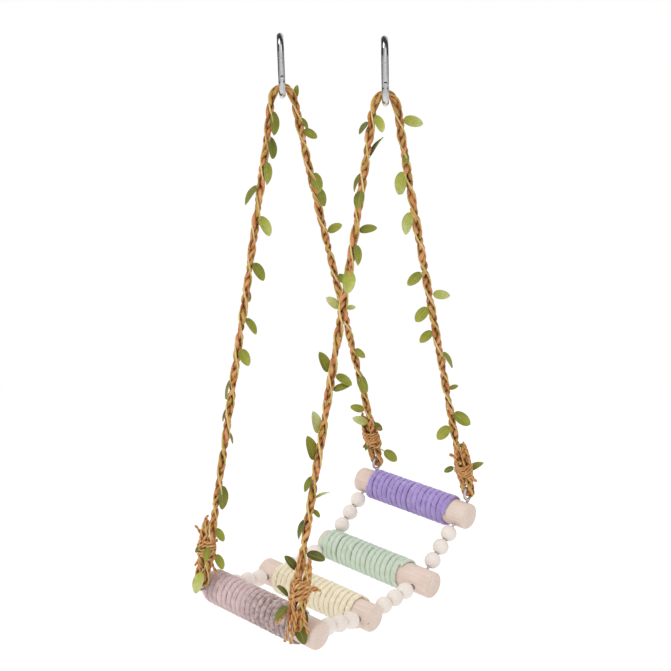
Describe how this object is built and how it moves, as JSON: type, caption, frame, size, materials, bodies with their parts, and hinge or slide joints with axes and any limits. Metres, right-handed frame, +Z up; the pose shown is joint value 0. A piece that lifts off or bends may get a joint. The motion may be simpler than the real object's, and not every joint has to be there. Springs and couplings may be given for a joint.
{
  "type": "bird swing",
  "caption": "Hanging ladder swing for a pet bird: cord-wrapped wooden rungs on bent wires with wooden beads, hung by leafy vine ropes from snap hooks.",
  "frame": {"origin": "midway between the two snap hooks, at the height of the centres of their upper bows, where a cage bar carries them", "axes": "+Z up, +X along the rungs from the left hook to the right one, +Y from the front rung to the back rung"},
  "size_m": [0.1106, 0.1889, 0.3761],
  "materials": {
    "hook_steel": "bright nickel plate",
    "spring_steel": "plain spring wire",
    "wire_steel": "drawn wire",
    "vine_rope": "twisted paper rope",
    "tie_cord": "twisted paper strand",
    "leaf_cloth": "printed cloth leaf",
    "dowel_wood": "sanded, unfinished",
    "bead_wood": "turned and sanded",
    "pink_cotton": "soft cotton cord",
    "cream_cotton": "soft cotton cord",
    "mint_cotton": "soft cotton cord",
    "purple_cotton": "soft cotton cord"
  },
  "bodies": {
    "hooks": {"hook_body_left": "hook_steel", "gate_rivet_left": "hook_steel", "hook_body_right": "hook_steel", "gate_rivet_right": "hook_steel"},
    "gate_left": {"hook_gate_left": "hook_steel", "gate_spring_left": "spring_steel"},
    "gate_right": {"hook_gate_right": "hook_steel", "gate_spring_right": "spring_steel"},
    "swing": {"vine_left": "vine_rope", "vine_tie_left_front": "tie_cord", "leaves_left_front": "leaf_cloth", "vine_tie_left_back": "tie_cord", "leaves_left_back": "leaf_cloth", "side_wire_left": "wire_steel", "vine_right": "vine_rope", "vine_tie_right_front": "tie_cord", "leaves_right_front": "leaf_cloth", "vine_tie_right_back": "tie_cord", "leaves_right_back": "leaf_cloth", "side_wire_right": "wire_steel", "dowel_pink": "dowel_wood", "wrap_pink": "pink_cotton", "dowel_cream": "dowel_wood", "wrap_cream": "cream_cotton", "dowel_mint": "dowel_wood", "wrap_mint": "mint_cotton", "dowel_purple": "dowel_wood", "wrap_purple": "purple_cotton"},
    "bead_left_1": {"bead_left_1": "bead_wood"},
    "bead_left_2": {"bead_left_2": "bead_wood"},
    "bead_left_3": {"bead_left_3": "bead_wood"},
    "bead_left_4": {"bead_left_4": "bead_wood"},
    "bead_left_5": {"bead_left_5": "bead_wood"},
    "bead_left_6": {"bead_left_6": "bead_wood"},
    "bead_left_7": {"bead_left_7": "bead_wood"},
    "bead_left_8": {"bead_left_8": "bead_wood"},
    "bead_left_9": {"bead_left_9": "bead_wood"},
    "bead_right_1": {"bead_right_1": "bead_wood"},
    "bead_right_2": {"bead_right_2": "bead_wood"},
    "bead_right_3": {"bead_right_3": "bead_wood"},
    "bead_right_4": {"bead_right_4": "bead_wood"},
    "bead_right_5": {"bead_right_5": "bead_wood"},
    "bead_right_6": {"bead_right_6": "bead_wood"},
    "bead_right_7": {"bead_right_7": "bead_wood"},
    "bead_right_8": {"bead_right_8": "bead_wood"},
    "bead_right_9": {"bead_right_9": "bead_wood"}
  },
  "joints": [
    {"name": "gate_hinge_left", "type": "hinge", "parent": "hooks", "child": "gate_left", "pos_m": [-0.03671, -0.00511, -0.01688], "axis": [-0.6947, -0.7193, 0], "range_deg": [0, 24], "stiffness_Nm_per_rad": 0.02, "springref_deg": -20.05},
    {"name": "gate_hinge_right", "type": "hinge", "parent": "hooks", "child": "gate_right", "pos_m": [0.04683, -0.00555, -0.01688], "axis": [-0.7547, -0.6561, 0], "range_deg": [0, 24], "stiffness_Nm_per_rad": 0.02, "springref_deg": -20.05},
    {"name": "swing_hang", "type": "hinge", "parent": "hooks", "child": "swing", "pos_m": [0, 0, -0.028], "axis": [1, 0, 0], "range_deg": [-20, 20]},
    {"name": "bead_spin_left_1", "type": "hinge", "parent": "swing", "child": "bead_left_1", "pos_m": [-0.042, -0.06371, -0.34456], "axis": [0, 0.9636, -0.2672], "continuous": true},
    {"name": "bead_spin_left_2", "type": "hinge", "parent": "swing", "child": "bead_left_2", "pos_m": [-0.042, -0.05282, -0.34758], "axis": [0, 0.9636, -0.2672], "continuous": true},
    {"name": "bead_spin_left_3", "type": "hinge", "parent": "swing", "child": "bead_left_3", "pos_m": [-0.042, -0.04193, -0.3506], "axis": [0, 0.9636, -0.2672], "continuous": true},
    {"name": "bead_spin_left_4", "type": "hinge", "parent": "swing", "child": "bead_left_4", "pos_m": [-0.042, -0.00914, -0.35477], "axis": [0, 0.9998, 0.0175], "continuous": true},
    {"name": "bead_spin_left_5", "type": "hinge", "parent": "swing", "child": "bead_left_5", "pos_m": [-0.042, 0.00216, -0.35458], "axis": [0, 0.9998, 0.0175], "continuous": true},
    {"name": "bead_spin_left_6", "type": "hinge", "parent": "swing", "child": "bead_left_6", "pos_m": [-0.042, 0.01346, -0.35438], "axis": [0, 0.9998, 0.0175], "continuous": true},
    {"name": "bead_spin_left_7", "type": "hinge", "parent": "swing", "child": "bead_left_7", "pos_m": [-0.042, 0.04367, -0.34427], "axis": [0, 0.809, 0.5878], "continuous": true},
    {"name": "bead_spin_left_8", "type": "hinge", "parent": "swing", "child": "bead_left_8", "pos_m": [-0.042, 0.05281, -0.33763], "axis": [0, 0.809, 0.5878], "continuous": true},
    {"name": "bead_spin_left_9", "type": "hinge", "parent": "swing", "child": "bead_left_9", "pos_m": [-0.042, 0.06195, -0.33099], "axis": [0, 0.809, 0.5878], "continuous": true},
    {"name": "bead_spin_right_1", "type": "hinge", "parent": "swing", "child": "bead_right_1", "pos_m": [0.042, -0.06371, -0.34456], "axis": [0, 0.9636, -0.2672], "continuous": true},
    {"name": "bead_spin_right_2", "type": "hinge", "parent": "swing", "child": "bead_right_2", "pos_m": [0.042, -0.05282, -0.34758], "axis": [0, 0.9636, -0.2672], "continuous": true},
    {"name": "bead_spin_right_3", "type": "hinge", "parent": "swing", "child": "bead_right_3", "pos_m": [0.042, -0.04193, -0.3506], "axis": [0, 0.9636, -0.2672], "continuous": true},
    {"name": "bead_spin_right_4", "type": "hinge", "parent": "swing", "child": "bead_right_4", "pos_m": [0.042, -0.00914, -0.35477], "axis": [0, 0.9998, 0.0175], "continuous": true},
    {"name": "bead_spin_right_5", "type": "hinge", "parent": "swing", "child": "bead_right_5", "pos_m": [0.042, 0.00216, -0.35458], "axis": [0, 0.9998, 0.0175], "continuous": true},
    {"name": "bead_spin_right_6", "type": "hinge", "parent": "swing", "child": "bead_right_6", "pos_m": [0.042, 0.01346, -0.35438], "axis": [0, 0.9998, 0.0175], "continuous": true},
    {"name": "bead_spin_right_7", "type": "hinge", "parent": "swing", "child": "bead_right_7", "pos_m": [0.042, 0.04367, -0.34427], "axis": [0, 0.809, 0.5878], "continuous": true},
    {"name": "bead_spin_right_8", "type": "hinge", "parent": "swing", "child": "bead_right_8", "pos_m": [0.042, 0.05281, -0.33763], "axis": [0, 0.809, 0.5878], "continuous": true},
    {"name": "bead_spin_right_9", "type": "hinge", "parent": "swing", "child": "bead_right_9", "pos_m": [0.042, 0.06195, -0.33099], "axis": [0, 0.809, 0.5878], "continuous": true}
  ]
}
